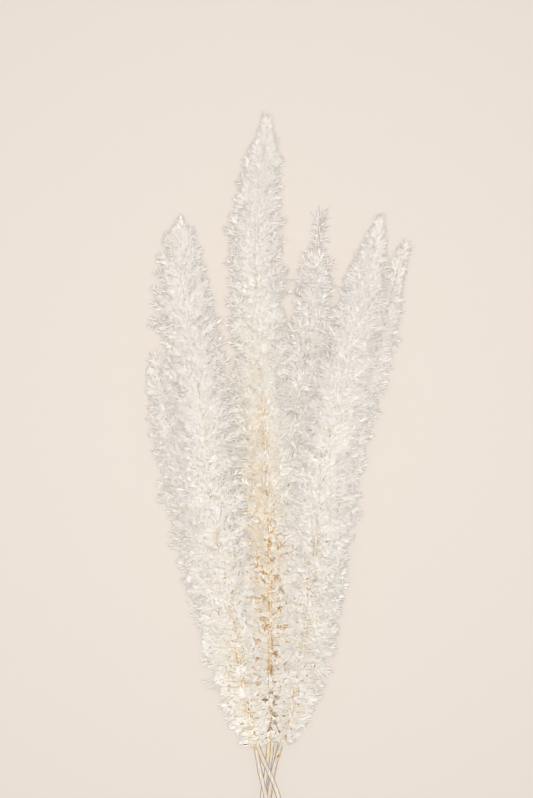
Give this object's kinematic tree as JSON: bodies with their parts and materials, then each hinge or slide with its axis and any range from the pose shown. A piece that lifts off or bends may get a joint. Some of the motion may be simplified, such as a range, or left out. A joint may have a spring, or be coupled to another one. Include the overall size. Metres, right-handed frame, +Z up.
{
  "type": "dried foxtail fern bunch",
  "caption": "Bunch of tall, bleached foxtail fern plumes with soft needle-like leaves, lying on its side with its bare stems crossing at the cut ends.",
  "frame": {"origin": "centre of the bunch's footprint, on the surface that it lies on", "axes": "+Y along the bunch from the cut ends to the tips, +X across it, +Z up from the surface"},
  "size_m": [0.2498, 0.6543, 0.0913],
  "materials": {
    "foliage": "matte, bleached needles",
    "stem": "matte, bleached woody stem"
  },
  "bodies": {
    "root": {"plume_left_front": "foliage", "plume_left_back": "foliage", "plume_tall": "foliage", "plume_middle_back": "foliage", "plume_right_front": "foliage", "plume_right_back": "foliage"}
  },
  "joints": []
}
